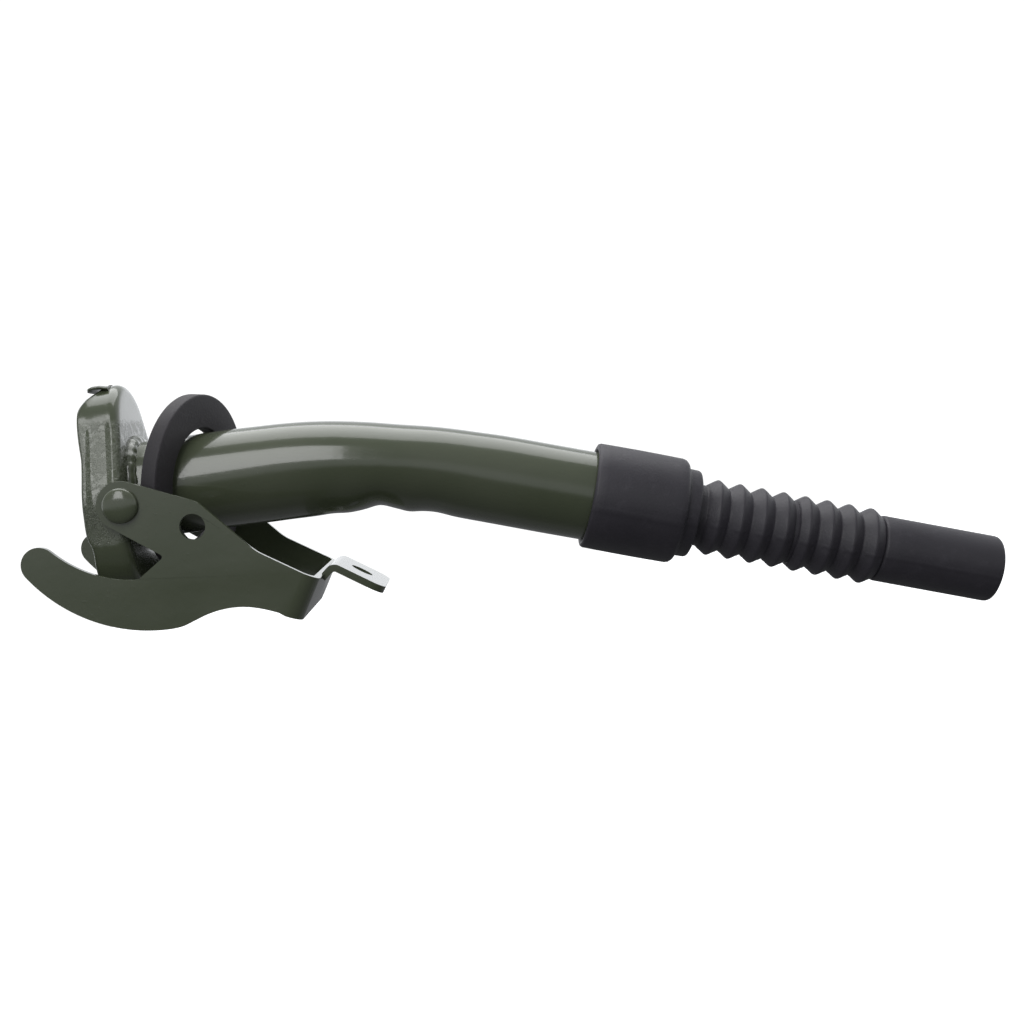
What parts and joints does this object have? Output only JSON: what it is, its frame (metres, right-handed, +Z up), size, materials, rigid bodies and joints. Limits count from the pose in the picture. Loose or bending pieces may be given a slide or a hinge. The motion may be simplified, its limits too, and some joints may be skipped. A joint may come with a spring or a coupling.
{
  "type": "fuel can pouring spout",
  "caption": "Clamp-on pouring spout for a steel fuel can: stamped head, cam lever with hook plates, bent tube, loose rubber ring and flexible rubber nozzle.",
  "frame": {"origin": "centre of the sealing face that meets the can's mouth, on the tube's inlet axis", "axes": "+X along the inlet axis towards the nozzle, +Z up away from the hooks, +Y across to the far pivot"},
  "size_m": [0.2969, 0.067, 0.1106],
  "materials": {
    "green_paint": "gloss olive enamel, slightly rippled",
    "nozzle_rubber": "matt moulded rubber",
    "gasket_rubber": "matt smooth rubber",
    "plated_steel": "dull zinc plate"
  },
  "bodies": {
    "spout": {"head_shell": "green_paint", "mouth_seal": "gasket_rubber", "strainer_rim": "plated_steel", "strainer_gauze": "plated_steel", "pour_tube": "green_paint", "weld_bead": "green_paint", "breather_tube": "plated_steel", "breather_saddle_inlet": "plated_steel", "breather_saddle_outlet": "plated_steel", "pivot_rivet_near": "green_paint", "pivot_rivet_far": "green_paint", "nozzle_socket": "nozzle_rubber", "bellows_rear": "nozzle_rubber"},
    "lever": {"clamp_lever": "green_paint"},
    "loose_ring": {"spare_seal": "gasket_rubber"},
    "nozzle_middle": {"bellows_middle": "nozzle_rubber"},
    "nozzle_end": {"bellows_front": "nozzle_rubber", "nozzle_tip": "nozzle_rubber"}
  },
  "joints": [
    {"name": "lever_hinge", "type": "hinge", "parent": "spout", "child": "lever", "pos_m": [0.0061, 0, -0.0034], "axis": [0, 1, 0], "range_deg": [-13, 95]},
    {"name": "ring_slide", "type": "slide", "parent": "spout", "child": "loose_ring", "axis": [1, 0, 0], "range_m": [0, 0.012]},
    {"name": "nozzle_bend_up_down", "type": "hinge", "parent": "spout", "child": "nozzle_middle", "pos_m": [0.19045, 0, -0.03958], "axis": [0, 1, 0], "range_deg": [-25, 25], "stiffness_Nm_per_rad": 0.6, "deforming": ["bellows_rear"]},
    {"name": "nozzle_bend_sideways", "type": "hinge", "parent": "nozzle_middle", "child": "nozzle_end", "pos_m": [0.21912, 0, -0.04968], "axis": [0.3322, 0, 0.9432], "range_deg": [-25, 25], "stiffness_Nm_per_rad": 0.6, "deforming": ["bellows_front"]}
  ]
}
